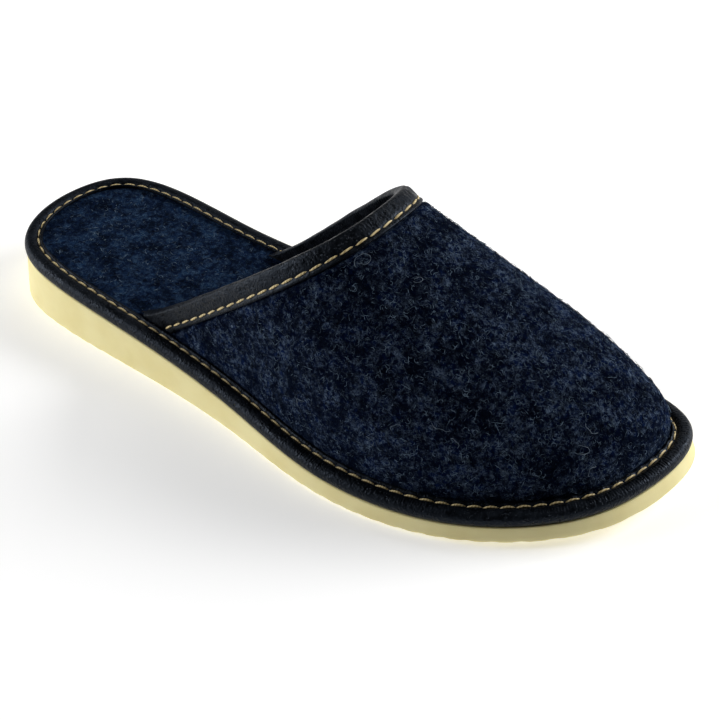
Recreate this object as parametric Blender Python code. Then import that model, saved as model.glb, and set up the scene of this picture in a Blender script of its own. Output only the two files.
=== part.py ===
"""A man's backless felt slipper for the right foot.

The toe points along +X, the wearer's left along +Y, and the slipper stands on its sole at
z = 0. A cream wedge outsole carries a felt footbed, whose edge is bound all round with a rolled
leather rand. The vamp is one hollow felt shell that stands on the footbed inside the rand,
open at the back and below, with a folded leather binding along its collar.
"""

import bmesh
import bpy
import numpy as np

# Driving sizes of the last and sole, in metres
SHOE_LENGTH = 0.284
HEEL_WIDTH = 0.0755
WAIST_WIDTH = 0.0777
BALL_WIDTH = 0.105
HEEL_THICKNESS = 0.0211
BALL_THICKNESS = 0.0062
TOE_SPRING = 0.0046
TOE_SPRING_SHARE = 0.72
SIDE_FLARE = 0.0010
TOE_FLARE = 0.0014
HEEL_FLARE = 0.0015
HEEL_FLARE_SHARE = 0.12
TOE_FLARE_SHARE = 0.80
SOLE_EDGE_INSET = 0.0004
SOLE_EDGE_RADIUS = 0.0014
SOLE_TOP_CHAMFER = 0.0005

# Footbed and rand
FOOTBED_THICKNESS = 0.0042
FOOTBED_EASE = 0.0006
RAND_WIDTH = 0.0078
RAND_HEIGHT = 0.0057
RAND_WALL = 0.0014
LIP_CUT_SHARE = 0.3

# Upper: heights are above the footbed, at the collar's crest
INSTEP_HEIGHT = 0.0721
UPPER_WALL = 0.0030
CREST_WALL_RATIO = 1.1
UPPER_POWER = 2.44
CREST_LEAN_RATIO = 0.098
TOE_ROUNDING_SHARE = 0.30
TOE_POWER = 1.84
BACK_SECTION_SHARE = 0.264

# Collar line, as shares of the way from the toe tip back to BACK_SECTION_SHARE
COLLAR_RIGHT_SHARE = 0.995
COLLAR_LEFT_SHARE = 0.922
COLLAR_CREST_SHARE = 0.582
COLLAR_POWER = 0.63

# Collar binding, whose seam draws it down into the felt
BINDING_WIDTH = 0.0079
BINDING_INSIDE_WIDTH = 0.0105
BINDING_LEATHER = 0.0009
BINDING_PUFF = 0.0002
BINDING_SINK = 0.0011

# What curved pieces keep to each other
CLEARANCE = 0.0003

# Outline of the rand, seen from above, anticlockwise from the back of the heel.
# Columns: share of SHOE_LENGTH, the width that the row follows, share of that width.
OUTLINE = (
    (0.000, HEEL_WIDTH, -0.040),
    (0.033, HEEL_WIDTH, -0.344),
    (0.111, HEEL_WIDTH, -0.473),
    (0.270, WAIST_WIDTH, -0.516),
    (0.463, BALL_WIDTH, -0.439),
    (0.638, BALL_WIDTH, -0.523),
    (0.815, BALL_WIDTH, -0.453),
    (0.945, BALL_WIDTH, -0.224),
    (0.995, BALL_WIDTH, 0.024),
    (0.986, BALL_WIDTH, 0.348),
    (0.823, BALL_WIDTH, 0.483),
    (0.659, BALL_WIDTH, 0.467),
    (0.447, BALL_WIDTH, 0.404),
    (0.279, WAIST_WIDTH, 0.484),
    (0.122, HEEL_WIDTH, 0.503),
    (0.032, HEEL_WIDTH, 0.368),
)
TOE_TIP_ROW = 8

# Wedge of the outsole. Columns: share of SHOE_LENGTH, share of the heel's extra thickness.
WEDGE = (
    (0.00, 1.00),
    (0.15, 0.83),
    (0.30, 0.60),
    (0.45, 0.31),
    (0.60, 0.075),
    (0.75, 0.00),
    (0.90, 0.00),
    (1.00, 0.05),
)

# Height of the last. Columns: share of the way back from the toe tip, share of INSTEP_HEIGHT.
LAST_HEIGHT = (
    (0.00, 0.177),
    (0.25, 0.556),
    (0.50, 0.917),
    (0.75, 1.200),
    (1.00, 1.500),
)

# Outer skin of the rand, from its foot over the roll and the stitched groove to its lip.
# Columns: share of RAND_WIDTH inwards, share of RAND_HEIGHT.
RAND_SKIN = (
    (0.120, 0.00),
    (0.015, 0.22),
    (0.000, 0.45),
    (0.045, 0.70),
    (0.180, 0.91),
    (0.380, 1.00),
    (0.600, 0.96),
    (0.750, 0.86),
    (0.880, 1.00),
    (0.970, 0.97),
)

# Outer skin of the collar binding. Columns: share of BINDING_WIDTH forward of the collar line,
# share of BINDING_LEATHER, share of BINDING_PUFF.
BINDING_SKIN = (
    (1.00, 0.75, 0.0),
    (0.88, 1.00, 0.0),
    (0.72, 0.80, 0.0),
    (0.45, 1.00, 0.7),
    (0.15, 1.00, 1.0),
)

# Fineness of the solids
OUTLINE_POINTS = 120
SIDE_LINE_POINTS = 61
UPPER_ANGLES = 28
UPPER_ROWS = 24
ANGLE_POWER = 1.4
ROW_POWER = 1.5
FOLD_POINTS = 5
FOLD_POWER = 0.4
NARROWEST_SLANT = 0.35
STEP_SHARE = 0.001
SHARP_DEGREES = 50
MERGE_DISTANCE = 1e-6

FELT = ((0.012, 0.019, 0.042), 0.95)
FOOTBED_FELT = ((0.014, 0.023, 0.050), 0.95)
LEATHER = ((0.010, 0.011, 0.014), 0.45)
CREAM_FOAM = ((0.82, 0.74, 0.46), 0.60)


def remove_objects():
    """Empty the scene."""
    for item in list(bpy.data.objects):
        bpy.data.objects.remove(item, do_unlink=True)


def spline(places, values, closed=False):
    """A cubic spline through rows of values, natural at its ends or closed on itself."""
    places = np.asarray(places, float)
    values = np.asarray(values, float)
    count = len(places)
    gap = np.diff(places)
    rows = values.reshape(count, -1)
    slope = np.diff(rows, axis=0) / gap[:, None]
    matrix = np.eye(count)
    right = np.zeros_like(rows)
    for i in range(1, count - 1):
        matrix[i, i - 1:i + 2] = gap[i - 1], 2 * (gap[i - 1] + gap[i]), gap[i]
        right[i] = 6 * (slope[i] - slope[i - 1])
    if closed:
        matrix[0, [0, 1, count - 2]] = 2 * (gap[-1] + gap[0]), gap[0], gap[-1]
        right[0] = 6 * (slope[0] - slope[-1])
        matrix[-1, 0] = -1
    bend = np.linalg.solve(matrix, right)

    def value(place):
        place = np.asarray(place, float)
        i = np.clip(np.searchsorted(places, place) - 1, 0, count - 2)
        before = ((places[i + 1] - place) / gap[i])[..., None]
        after = 1 - before
        curve = (before ** 3 - before) * bend[i] + (after ** 3 - after) * bend[i + 1]
        out = before * rows[i] + after * rows[i + 1] + curve * gap[i][..., None] ** 2 / 6
        return out.reshape(place.shape + values.shape[1:])

    return value


def outline():
    """The rand's outline: half of its points along the right side, then half along the left."""
    rows = np.array([(along * SHOE_LENGTH, share * width) for along, width, share in OUTLINE])
    loop = np.vstack([rows, rows[:1]])
    places = np.r_[0, np.cumsum(np.sqrt(np.linalg.norm(np.diff(loop, axis=0), axis=1)))]
    curve = spline(places, loop, closed=True)
    half = OUTLINE_POINTS // 2
    right = np.linspace(0, places[TOE_TIP_ROW], half, endpoint=False)
    left = np.linspace(places[TOE_TIP_ROW], places[-1], half, endpoint=False)
    return curve(np.r_[right, left])


def inset(loop, distance):
    """A loop moved inwards by one distance, or by one for each point."""
    along = np.roll(loop, -1, 0) - np.roll(loop, 1, 0)
    along /= np.linalg.norm(along, axis=1)[:, None]
    inwards = np.column_stack([-along[:, 1], along[:, 0]])
    return loop + inwards * np.reshape(distance, (-1, 1))


wedge_share = spline(*zip(*WEDGE))
last_height = spline(*zip(*LAST_HEIGHT))


def sole_bottom(x):
    """Height of the outsole's underside: flat, then lifted towards the toe."""
    rise = (x / SHOE_LENGTH - TOE_SPRING_SHARE) / (1 - TOE_SPRING_SHARE)
    return TOE_SPRING * np.clip(rise, 0, None) ** 2


def sole_top(x):
    """Height of the outsole's upper face."""
    share = wedge_share(np.clip(x / SHOE_LENGTH, 0, 1))
    thickness = BALL_THICKNESS + (HEEL_THICKNESS - BALL_THICKNESS) * share
    return sole_bottom(np.clip(x, None, SHOE_LENGTH)) + thickness


def footbed_top(x):
    """Height of the felt that the foot stands on."""
    return sole_top(x) + FOOTBED_THICKNESS


def side_flare(x):
    """How far the outsole's bottom edge stands outside its top edge."""
    share = x / SHOE_LENGTH
    heel = np.clip(1 - share / HEEL_FLARE_SHARE, 0, 1)
    toe = np.clip((share - TOE_FLARE_SHARE) / (1 - TOE_FLARE_SHARE), 0, 1)
    return SIDE_FLARE + (HEEL_FLARE - SIDE_FLARE) * heel + (TOE_FLARE - SIDE_FLARE) * toe


def side_lines(depth):
    """The right and left base lines of the upper, each from the toe tip back, at an inset."""
    loop = inset(outline(), depth)
    half = OUTLINE_POINTS // 2
    back = BACK_SECTION_SHARE * SHOE_LENGTH
    lines = []
    for side in (loop[half::-1], np.vstack([loop[half:], loop[:1]])):
        length = np.r_[0, np.cumsum(np.linalg.norm(np.diff(side, axis=0), axis=1))]
        end = np.argmax(side[:, 0] < back)
        part = (side[end - 1, 0] - back) / (side[end - 1, 0] - side[end, 0])
        whole = length[end - 1] + part * (length[end] - length[end - 1])
        places = np.linspace(0, 1, SIDE_LINE_POINTS)
        points = np.column_stack([np.interp(places * whole, length, side[:, i]) for i in (0, 1)])
        lines.append(spline(places, points))
    return lines


def shell_surface(depth):
    """The upper's surface at a depth inside its outer face.

    It gives a point for a share of the way back from the toe tip and an angle over the foot,
    from 0 at the right base line to pi at the left one.
    """
    right, left = side_lines(RAND_WIDTH + depth)
    power = 2 / UPPER_POWER

    def point(share, angle):
        share, angle = np.broadcast_arrays(np.asarray(share, float), angle)
        start, end = right(share), left(share)
        across = np.sign(np.cos(angle)) * np.abs(np.cos(angle)) ** power
        up = np.abs(np.sin(angle)) ** power
        toe = 1 - np.clip(share / TOE_ROUNDING_SHARE, 0, 1)
        rounding = (1 - toe ** TOE_POWER) ** (1 / TOE_POWER)
        rise = (INSTEP_HEIGHT * last_height(share) - CREST_WALL_RATIO * depth) * rounding * up
        flat = (start + end) / 2 + (start - end) / 2 * across[..., None]
        weight = (1 + np.cos(angle)) / 2
        base = footbed_top(start[..., 0]) * weight + footbed_top(end[..., 0]) * (1 - weight)
        y = flat[..., 1] + CREST_LEAN_RATIO * rise * up
        return np.stack([flat[..., 0], y, base + CLEARANCE + rise], axis=-1)

    return point


def collar_share(angle):
    """Where the collar line crosses each angle, as a share of the way back from the toe."""
    weight = (1 + np.cos(angle)) / 2
    low = COLLAR_RIGHT_SHARE * weight + COLLAR_LEFT_SHARE * (1 - weight)
    return low + (COLLAR_CREST_SHARE - low) * np.abs(np.sin(angle)) ** COLLAR_POWER


def collar_start():
    """The angle at which the collar binding clears the rand's lip."""
    climb = RAND_HEIGHT - FOOTBED_THICKNESS + CLEARANCE
    height = INSTEP_HEIGHT * float(last_height(COLLAR_LEFT_SHARE))
    return float(np.arcsin((climb / height) ** (UPPER_POWER / 2)))


def upper_angles():
    """Angles over the foot, closer together near the base lines, where the binding starts."""
    start = collar_start()
    half = np.pi / 2 * np.linspace(0, 1, UPPER_ANGLES // 2 + 1) ** ANGLE_POWER
    right = np.r_[0, start, half[half > 2 * start]]
    return np.r_[right, np.pi - right[-2::-1]]


def unit(vectors):
    """Vectors of length one."""
    return vectors / np.linalg.norm(vectors, axis=-1)[..., None]


def ahead_share(surface, forward, angle):
    """The share of the way back from the toe at a distance forward of the collar line."""
    near = np.clip(angle, 2 * STEP_SHARE, np.pi - 2 * STEP_SHARE)
    share = collar_share(near)
    before, after = near - STEP_SHARE, near + STEP_SHARE
    along = unit(surface(collar_share(after), after) - surface(collar_share(before), before))
    ahead = surface(share - STEP_SHARE, near) - surface(share + STEP_SHARE, near)
    ahead /= 2 * STEP_SHARE
    slant = np.linalg.norm(np.cross(along, ahead), axis=-1)
    slant = np.maximum(slant, NARROWEST_SLANT * np.linalg.norm(ahead, axis=-1))
    return collar_share(angle) - forward / slant


def on_surface(surface, forward, angle):
    """The point and the outward normal at a distance forward of the collar line."""
    share = ahead_share(surface, forward, angle)
    near = np.clip(angle, 2 * STEP_SHARE, np.pi - 2 * STEP_SHARE)
    over = surface(share, near + STEP_SHARE) - surface(share, near - STEP_SHARE)
    ahead = surface(share - STEP_SHARE, near) - surface(share + STEP_SHARE, near)
    return surface(share, angle), unit(np.cross(ahead, over))


def add_node(name, points, faces, material):
    """One named object from its points and faces, closed, facing out and shaded smooth."""
    mesh = bpy.data.meshes.new(name)
    mesh.from_pydata([tuple(map(float, p)) for p in points], [], faces)
    shape = bmesh.new()
    shape.from_mesh(mesh)
    bmesh.ops.remove_doubles(shape, verts=shape.verts, dist=MERGE_DISTANCE)
    bmesh.ops.recalc_face_normals(shape, faces=shape.faces)
    shape.to_mesh(mesh)
    shape.free()
    mesh.shade_smooth()
    mesh.set_sharp_from_angle(angle=np.radians(SHARP_DEGREES))
    mesh.materials.append(material)
    node = bpy.data.objects.new(name, mesh)
    bpy.context.scene.collection.objects.link(node)
    return node


def make_material(name, colour, roughness):
    """A plain Principled material."""
    material = bpy.data.materials.new(name)
    material.use_nodes = True
    shader = material.node_tree.nodes["Principled BSDF"]
    shader.inputs["Base Color"].default_value = (*colour, 1)
    shader.inputs["Roughness"].default_value = roughness
    shader.inputs["Metallic"].default_value = 0
    return material


def between_rings(first, second, count):
    """Faces between two closed rings of points."""
    return [
        (first + i, first + (i + 1) % count, second + (i + 1) % count, second + i)
        for i in range(count)
    ]


def ladder(first, count):
    """Faces that close a ring from its heel point to its toe point, rung by rung."""
    half = count // 2
    faces = [(first, first + 1, first + count - 1)]
    for i in range(1, half - 1):
        faces.append((first + i, first + i + 1, first + count - i - 1, first + count - i))
    faces.append((first + half - 1, first + half, first + half + 1))
    return faces


def slab(name, rings, material):
    """A closed slab from rings of points, the first ring and the last one filled."""
    count = len(rings[0])
    faces = ladder(0, count)
    for i in range(len(rings) - 1):
        faces += between_rings(i * count, (i + 1) * count, count)
    faces += ladder((len(rings) - 1) * count, count)
    return add_node(name, np.vstack(rings), faces, material)


def outsole(material):
    """The wedge outsole, with an eased top edge and a rounded, slightly flared bottom edge."""
    loop = outline()
    x = loop[:, 0]
    top_edge = SOLE_EDGE_INSET
    flare = -side_flare(x)
    rings = []
    for depth, drop in ((top_edge + SOLE_TOP_CHAMFER, 0), (top_edge, SOLE_TOP_CHAMFER)):
        ring = inset(loop, depth)
        rings.append(np.column_stack([ring, sole_top(ring[:, 0]) - drop]))
    for turn in np.radians((0, 30, 60, 90)):
        depth = flare + SOLE_EDGE_RADIUS * (1 - np.cos(turn))
        ring = inset(loop, depth)
        rise = SOLE_EDGE_RADIUS * (1 - np.sin(turn))
        rings.append(np.column_stack([ring, sole_bottom(ring[:, 0]) + rise]))
    return slab("outsole", rings, material)


def insole(material):
    """The felt footbed, held at its edge by the rand."""
    loop = outline()
    edge = RAND_WALL + CLEARANCE
    rings = []
    for depth, height in (
        (edge, CLEARANCE),
        (edge, FOOTBED_THICKNESS - FOOTBED_EASE),
        (edge + FOOTBED_EASE, FOOTBED_THICKNESS),
    ):
        ring = inset(loop, depth)
        rings.append(np.column_stack([ring, sole_top(ring[:, 0]) + height]))
    return slab("insole", rings, material)


def rand(material):
    """The leather rolled round the platform's edge and over the footbed's margin."""
    loop = outline()
    low = CLEARANCE
    under = FOOTBED_THICKNESS + CLEARANCE
    lip = RAND_WIDTH - CLEARANCE
    span = RAND_HEIGHT - low
    section = [(share * RAND_WIDTH, low + height * span) for share, height in RAND_SKIN]
    section += [
        (lip, under + LIP_CUT_SHARE * (RAND_HEIGHT - under)),
        (lip, under),
        (RAND_WALL + FOOTBED_EASE, under),
        (RAND_WALL, under - FOOTBED_EASE - CLEARANCE),
        (RAND_WALL, low),
    ]
    points = []
    for depth, height in section:
        ring = inset(loop, depth)
        points.append(np.column_stack([ring, sole_top(ring[:, 0]) + height]))
    faces = []
    for i in range(len(section)):
        following = (i + 1) % len(section)
        faces += between_rings(i * OUTLINE_POINTS, following * OUTLINE_POINTS, OUTLINE_POINTS)
    return add_node("rand", np.vstack(points), faces, material)


def upper(material):
    """The hollow felt vamp, open at the back and below, and pressed thin under its binding."""
    angles = upper_angles()
    columns = len(angles)
    edge = BINDING_WIDTH + CLEARANCE
    step = edge + 2 * BINDING_SINK
    skins = []
    for depth, sink in ((0, BINDING_SINK), (UPPER_WALL, 0)):
        surface = shell_surface(depth)
        skin = []
        for forward in (0, edge):
            point, normal = on_surface(surface, forward, angles)
            skin.append(point - normal * sink)
        share = ahead_share(surface, step, angles)
        for row in np.linspace(1, 0, UPPER_ROWS) ** ROW_POWER:
            skin.append(surface(share * row, angles))
        skins.append(np.array(skin))
    points = np.vstack([skin.reshape(-1, 3) for skin in skins])
    rows = len(skins[0])
    inside = rows * columns
    faces = []
    for i in range(rows - 1):
        for j in range(columns - 1):
            corner = i * columns + j
            face = (corner, corner + 1, corner + columns + 1, corner + columns)
            faces.append(face)
            faces.append(tuple(inside + k for k in face[::-1]))
        for j in (0, columns - 1):
            corner = i * columns + j
            faces.append((corner, corner + columns, inside + corner + columns, inside + corner))
    for j in range(columns - 1):
        faces.append((j, j + 1, inside + j + 1, inside + j))
    return add_node("upper", points, clean(points, faces), material)


def clean(points, faces):
    """Faces without the corners that fall together at the toe tip."""
    kept = []
    for face in faces:
        corners = []
        for k in face:
            if not any(np.allclose(points[k], points[c], atol=MERGE_DISTANCE) for c in corners):
                corners.append(k)
        if len(corners) > 2:
            kept.append(tuple(corners))
    return kept


def binding_skin(angle, extra, power):
    """One skin of the folded binding, from its outer edge round the collar to its inner edge.

    The outer skin has the whole of the leather as its extra, and the inner skin has none.
    """
    outer = shell_surface(0)
    inner = shell_surface(UPPER_WALL)
    rows = []
    for forward, leather, puff in BINDING_SKIN:
        point, normal = on_surface(outer, forward * BINDING_WIDTH, angle)
        height = extra * (leather * BINDING_LEATHER + puff * BINDING_PUFF)
        rows.append(point + normal * (CLEARANCE - BINDING_SINK + height))
    top, outwards = on_surface(outer, 0, angle)
    top -= outwards * BINDING_SINK
    under, _ = on_surface(inner, 0, angle)
    ahead, _ = on_surface(outer, BINDING_LEATHER, angle)
    ahead -= outwards * BINDING_SINK
    back = unit(top - ahead)
    side = unit(top - under)
    middle = (top + under) / 2
    thickness = CLEARANCE + extra * (BINDING_LEATHER + BINDING_PUFF)
    reach = np.linalg.norm(top - under, axis=-1)[:, None] / 2 + thickness
    for turn in np.linspace(0, np.pi, FOLD_POINTS):
        aside = np.sign(np.cos(turn)) * np.abs(np.cos(turn)) ** power
        rows.append(middle + side * reach * aside + back * thickness * np.sin(turn) ** power)
    for forward, leather, puff in BINDING_SKIN[::-1]:
        point, normal = on_surface(inner, forward * BINDING_INSIDE_WIDTH, angle)
        rows.append(point - normal * (CLEARANCE + extra * leather * BINDING_LEATHER))
    return np.array(rows)


def collar_binding(material):
    """The leather strip folded over the collar."""
    angles = upper_angles()[1:-1]
    skins = [binding_skin(angles, 1, 1), binding_skin(angles, 0, FOLD_POWER)]
    rows, columns = skins[0].shape[:2]
    points = np.vstack([skin.reshape(-1, 3) for skin in skins])
    inside = rows * columns
    faces = []
    for j in range(columns - 1):
        for i in range(rows - 1):
            corner = i * columns + j
            face = (corner, corner + 1, corner + columns + 1, corner + columns)
            faces.append(face)
            faces.append(tuple(inside + k for k in face[::-1]))
        for i in (0, rows - 1):
            corner = i * columns + j
            faces.append((corner, corner + 1, inside + corner + 1, inside + corner))
    for i in range(rows - 1):
        for j in (0, columns - 1):
            corner = i * columns + j
            faces.append((corner, corner + columns, inside + corner + columns, inside + corner))
    return add_node("collar_binding", points, faces, material)


def build():
    """All pieces, moved so that the origin is under the middle of the sole."""
    remove_objects()
    felt = make_material("navy_felt", *FELT)
    footbed_felt = make_material("footbed_felt", *FOOTBED_FELT)
    leather = make_material("black_leather", *LEATHER)
    foam = make_material("cream_foam", *CREAM_FOAM)
    sole = outsole(foam)
    pieces = [sole, insole(footbed_felt), rand(leather), upper(felt), collar_binding(leather)]
    corners = np.array([vertex.co for vertex in sole.data.vertices])
    middle = (corners.min(axis=0) + corners.max(axis=0)) / 2
    for piece in pieces:
        piece.location = (-middle[0], -middle[1], 0)


build()
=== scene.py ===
"""Looks of a man's backless felt slipper for the right foot.

The felt, leather, foam and thread pieces stand for the plain solids of the frame, in the same
place and of the same form. The toe points along +X and the wearer's left along +Y.
"""

import math

import bmesh
import bpy
import numpy as np
from mathutils import Matrix, Vector, noise


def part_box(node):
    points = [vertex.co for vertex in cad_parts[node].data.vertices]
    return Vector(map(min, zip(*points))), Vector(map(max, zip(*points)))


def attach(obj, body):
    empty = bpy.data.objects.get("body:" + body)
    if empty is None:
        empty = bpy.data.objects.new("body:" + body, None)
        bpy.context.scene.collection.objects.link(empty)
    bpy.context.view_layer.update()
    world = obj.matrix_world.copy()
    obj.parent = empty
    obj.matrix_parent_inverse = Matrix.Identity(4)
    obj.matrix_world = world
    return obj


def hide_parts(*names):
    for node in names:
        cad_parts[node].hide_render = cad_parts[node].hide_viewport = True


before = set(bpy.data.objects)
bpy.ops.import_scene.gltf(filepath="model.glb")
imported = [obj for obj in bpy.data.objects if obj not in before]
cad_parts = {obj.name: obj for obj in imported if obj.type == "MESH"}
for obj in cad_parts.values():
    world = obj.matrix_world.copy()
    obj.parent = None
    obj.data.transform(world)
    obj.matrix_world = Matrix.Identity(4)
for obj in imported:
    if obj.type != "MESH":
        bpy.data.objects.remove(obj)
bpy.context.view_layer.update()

# Sizes of the slipper, in metres, as its solids have them
SHOE_LENGTH = 0.284
HEEL_WIDTH = 0.0755
WAIST_WIDTH = 0.0777
BALL_WIDTH = 0.105
HEEL_THICKNESS = 0.0211
BALL_THICKNESS = 0.0062
TOE_SPRING = 0.0046
TOE_SPRING_SHARE = 0.72
SIDE_FLARE = 0.0010
TOE_FLARE = 0.0014
HEEL_FLARE = 0.0015
HEEL_FLARE_SHARE = 0.12
TOE_FLARE_SHARE = 0.80
FOOTBED_THICKNESS = 0.0042
FOOTBED_EASE = 0.0006
RAND_WIDTH = 0.0078
RAND_HEIGHT = 0.0057
RAND_WALL = 0.0014
INSTEP_HEIGHT = 0.0721
UPPER_WALL = 0.0030
CREST_WALL_RATIO = 1.1
UPPER_POWER = 2.44
CREST_LEAN_RATIO = 0.098
TOE_ROUNDING_SHARE = 0.30
TOE_POWER = 1.84
BACK_SECTION_SHARE = 0.264
COLLAR_RIGHT_SHARE = 0.995
COLLAR_LEFT_SHARE = 0.922
COLLAR_CREST_SHARE = 0.582
COLLAR_POWER = 0.63
BINDING_WIDTH = 0.0079
BINDING_INSIDE_WIDTH = 0.0105
BINDING_LEATHER = 0.0009
BINDING_PUFF = 0.0002
BINDING_SINK = 0.0011
CLEARANCE = 0.0003

# Sizes of what only the looks have
LINING_THICKNESS = 0.0006
LINING_GAP = 0.00005
SOLE_EDGE_RADIUS = 0.0014
TREAD_PITCH = 0.0080
TREAD_DEPTH = 0.0006
RAND_STITCH_PITCH = 0.00568
RAND_STITCH_LENGTH = 0.0052
RAND_STITCH_INSET = 0.00585
TOE_STITCH_SHIFT = 0.0005
COLLAR_STITCH_PITCH = 0.0062
COLLAR_STITCH_LENGTH = 0.0064
COLLAR_STITCH_EDGE = 0.0021
COLLAR_SEAM = BINDING_WIDTH - COLLAR_STITCH_EDGE
THREAD_WIDTH = 0.00082

# Shares of SHOE_LENGTH over which the forefoot and the toe begin
FOREFOOT_SPAN = (0.45, 0.70)
TOE_SPAN = (0.80, 0.92)

# Outline of the rand, seen from above, anticlockwise from the back of the heel.
# Columns: share of SHOE_LENGTH, the width that the row follows, share of that width.
OUTLINE = (
    (0.000, HEEL_WIDTH, -0.040),
    (0.033, HEEL_WIDTH, -0.344),
    (0.111, HEEL_WIDTH, -0.473),
    (0.270, WAIST_WIDTH, -0.516),
    (0.463, BALL_WIDTH, -0.439),
    (0.638, BALL_WIDTH, -0.523),
    (0.815, BALL_WIDTH, -0.453),
    (0.945, BALL_WIDTH, -0.224),
    (0.995, BALL_WIDTH, 0.024),
    (0.986, BALL_WIDTH, 0.348),
    (0.823, BALL_WIDTH, 0.483),
    (0.659, BALL_WIDTH, 0.467),
    (0.447, BALL_WIDTH, 0.404),
    (0.279, WAIST_WIDTH, 0.484),
    (0.122, HEEL_WIDTH, 0.503),
    (0.032, HEEL_WIDTH, 0.368),
)
TOE_TIP_ROW = 8

# Wedge of the outsole: share of SHOE_LENGTH, share of the heel's extra thickness.
WEDGE = (
    (0.00, 1.00), (0.15, 0.83), (0.30, 0.60), (0.45, 0.31),
    (0.60, 0.075), (0.75, 0.00), (0.90, 0.00), (1.00, 0.05),
)

# Height of the last: share of the way back from the toe tip, share of INSTEP_HEIGHT.
LAST_HEIGHT = ((0.00, 0.177), (0.25, 0.556), (0.50, 0.917), (0.75, 1.200), (1.00, 1.500))

# Outer skin of the rand, from its foot over the roll and the stitched groove to its lip.
# Columns: share of RAND_WIDTH inwards, share of RAND_HEIGHT.
RAND_SKIN = (
    (0.120, 0.00),
    (0.015, 0.22),
    (0.000, 0.45),
    (0.045, 0.70),
    (0.180, 0.91),
    (0.380, 1.00),
    (0.600, 0.95),
    (0.750, 0.80),
    (0.860, 0.97),
    (0.960, 1.00),
)

# Camera, fitted to the photo: degrees, metres from the back of the heel on the floor, pixels
CAMERA_AZIMUTH = 38.78
CAMERA_ELEVATION = 39.75
CAMERA_ROLL = -3.02
CAMERA_DISTANCE = 0.715
CAMERA_TARGET = (0.1472, 0.0148, -0.0015)
CAMERA_FOCAL_PIXELS = 1832
FRAME_PIXELS = 720
SENSOR_MM = 36

MM = 0.001
STEP_SHARE = 0.001
NARROWEST_SLANT = 0.35
WELD = 2e-6
FINE_WELD = 1e-7
SEED = 11
NOISE_SHIFT = (3.1, 1.7, 2.3)

# How finely the shapes are sampled: points along lines, and parts to each stitch
OUTLINE_POINTS = 960
PLAN_POINTS = 480
BASE_LINE_POINTS = 61
RAND_PARTS = 22
COLLAR_PARTS = 14


# Geometry of the last


def spline(places, values, closed=False):
    """A cubic spline through rows of values, natural at its ends or closed on itself."""
    places = np.asarray(places, float)
    values = np.asarray(values, float)
    count = len(places)
    gap = np.diff(places)
    rows = values.reshape(count, -1)
    slope = np.diff(rows, axis=0) / gap[:, None]
    matrix = np.eye(count)
    right = np.zeros_like(rows)
    for i in range(1, count - 1):
        matrix[i, i - 1:i + 2] = gap[i - 1], 2 * (gap[i - 1] + gap[i]), gap[i]
        right[i] = 6 * (slope[i] - slope[i - 1])
    if closed:
        matrix[0, [0, 1, count - 2]] = 2 * (gap[-1] + gap[0]), gap[0], gap[-1]
        right[0] = 6 * (slope[0] - slope[-1])
        matrix[-1, 0] = -1
    bend = np.linalg.solve(matrix, right)

    def value(place):
        place = np.asarray(place, float)
        i = np.clip(np.searchsorted(places, place) - 1, 0, count - 2)
        before = ((places[i + 1] - place) / gap[i])[..., None]
        after = 1 - before
        curve = (before ** 3 - before) * bend[i] + (after ** 3 - after) * bend[i + 1]
        out = before * rows[i] + after * rows[i + 1] + curve * gap[i][..., None] ** 2 / 6
        return out.reshape(place.shape + values.shape[1:])

    return value


def unit(vectors):
    """Vectors of length one."""
    return vectors / (np.linalg.norm(vectors, axis=-1)[..., None] + 1e-12)


def distances(points, power=1):
    """Distances along a line of points, or sums of the steps' square roots with power 0.5."""
    steps = np.linalg.norm(np.diff(points, axis=0), axis=1)
    return np.r_[0, np.cumsum(steps ** power)]


def outline(count=OUTLINE_POINTS):
    """The rand's outline: half of its points along the right side, then half along the left."""
    rows = np.array([(along * SHOE_LENGTH, share * width) for along, width, share in OUTLINE])
    loop = np.vstack([rows, rows[:1]])
    places = distances(loop, 0.5)
    curve = spline(places, loop, closed=True)
    right = np.linspace(0, places[TOE_TIP_ROW], count // 2, endpoint=False)
    left = np.linspace(places[TOE_TIP_ROW], places[-1], count // 2, endpoint=False)
    return curve(np.r_[right, left])


def inwards(loop):
    """Unit vectors that point into a loop, at each of its points."""
    along = unit(np.roll(loop, -1, 0) - np.roll(loop, 1, 0))
    return np.column_stack([-along[:, 1], along[:, 0]])


def even_outline(parts):
    """The outline and its inward vectors, even along the rand's seam, with parts to a stitch."""
    loop = outline()
    both = np.hstack([loop, inwards(loop)])
    both = np.vstack([both, both[:1]])
    length = distances(both[:, :2] + both[:, 2:] * RAND_STITCH_INSET)
    stitches = round(length[-1] / RAND_STITCH_PITCH)
    places = np.linspace(0, length[-1], stitches * parts, endpoint=False)
    both = np.column_stack([np.interp(places, length, column) for column in both.T])
    return both[:, :2], unit(both[:, 2:])


wedge_share = spline(*zip(*WEDGE))
last_height = spline(*zip(*LAST_HEIGHT))


def sole_bottom(x):
    """Height of the outsole's underside: flat, then lifted towards the toe."""
    rise = (x / SHOE_LENGTH - TOE_SPRING_SHARE) / (1 - TOE_SPRING_SHARE)
    return TOE_SPRING * np.clip(rise, 0, None) ** 2


def sole_top(x):
    """Height of the outsole's upper face."""
    share = wedge_share(np.clip(x / SHOE_LENGTH, 0, 1))
    thickness = BALL_THICKNESS + (HEEL_THICKNESS - BALL_THICKNESS) * share
    return sole_bottom(np.clip(x, None, SHOE_LENGTH)) + thickness


def footbed_top(x):
    """Height of the felt that the foot stands on."""
    return sole_top(x) + FOOTBED_THICKNESS


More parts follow.
